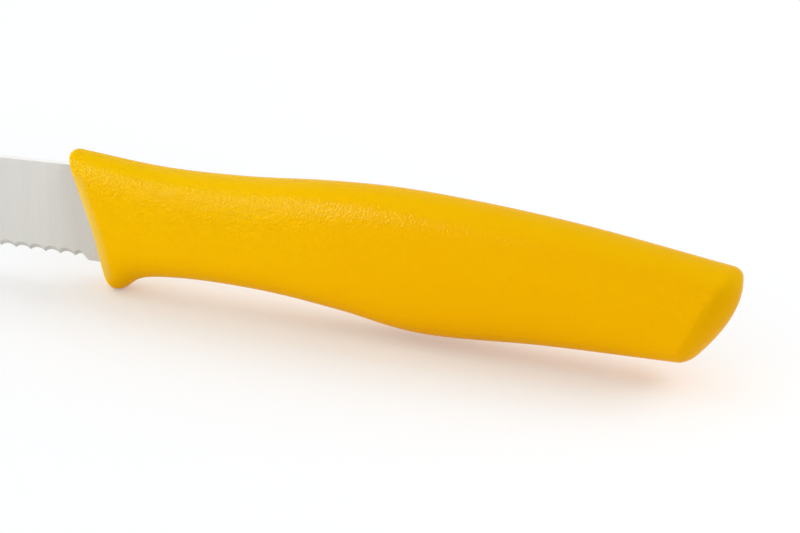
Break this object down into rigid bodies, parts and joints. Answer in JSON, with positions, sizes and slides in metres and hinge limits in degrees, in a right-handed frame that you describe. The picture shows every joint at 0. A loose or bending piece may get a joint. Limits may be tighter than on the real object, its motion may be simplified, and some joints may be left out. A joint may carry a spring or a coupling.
{
  "type": "serrated paring knife",
  "caption": "Paring knife with a pointed steel blade, a finely scalloped edge and a moulded yellow handle with a finger guard and a slanted rounded butt.",
  "frame": {"origin": "middle of the footprint, on the surface that the guard and the belly of the handle stand on with the spine up", "axes": "+X along the knife from the point to the butt, +Y to the knife's right side, +Z from the cutting edge to the spine"},
  "size_m": [0.21, 0.015, 0.0226],
  "materials": {
    "blade_steel": "fine satin ground stainless steel",
    "handle_plastic": "fine spark-eroded grain, yellow"
  },
  "bodies": {
    "root": {"blade": "blade_steel", "handle": "handle_plastic"}
  },
  "joints": []
}
